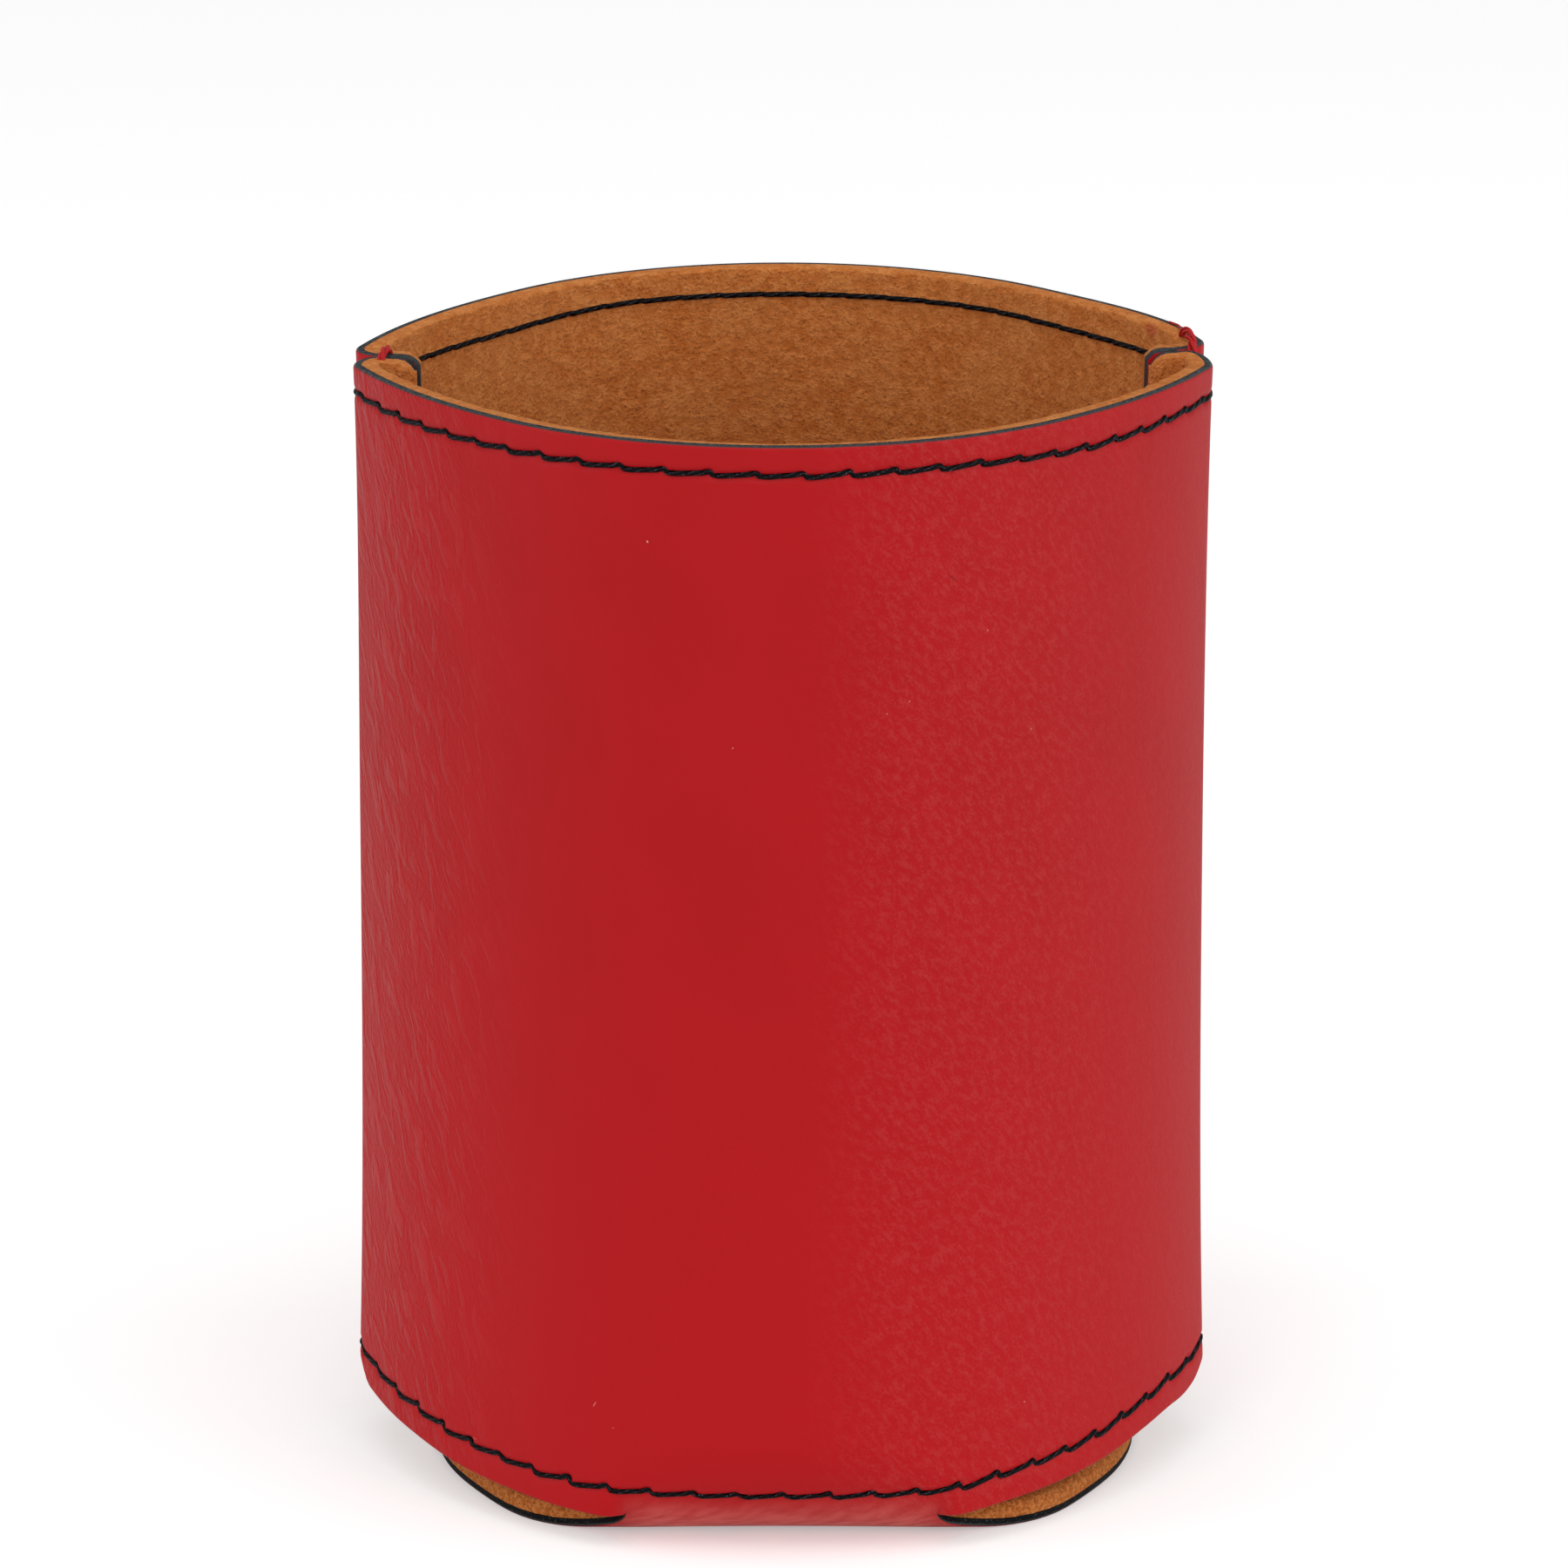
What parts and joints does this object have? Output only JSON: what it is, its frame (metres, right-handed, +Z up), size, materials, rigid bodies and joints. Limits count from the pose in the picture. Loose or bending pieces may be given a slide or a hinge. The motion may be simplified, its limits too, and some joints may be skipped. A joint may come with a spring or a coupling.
{
  "type": "leatherette beverage holder",
  "caption": "Folded leatherette holder for a drinks can, lined with suede, sewn at both sides with the flaps turned inward, on a round bottom.",
  "frame": {"origin": "on the table, under the centre of the round bottom", "axes": "+Z up through the mouth, -Y the front panel, +X towards the right side seam"},
  "size_m": [0.0804, 0.0722, 0.1052],
  "materials": {
    "leatherette": "grained red leatherette with a black cut edge",
    "suede_lining": "napped tan suede",
    "black_thread": "twisted black sewing thread",
    "red_thread": "twisted red sewing thread"
  },
  "bodies": {
    "root": {"leatherette_skin": "leatherette", "lining": "suede_lining", "top_stitch_front": "black_thread", "top_stitch_back": "black_thread", "bottom_stitch_front": "black_thread", "bottom_stitch_back": "black_thread", "seam_thread_left": "red_thread", "seam_thread_right": "red_thread"}
  },
  "joints": []
}
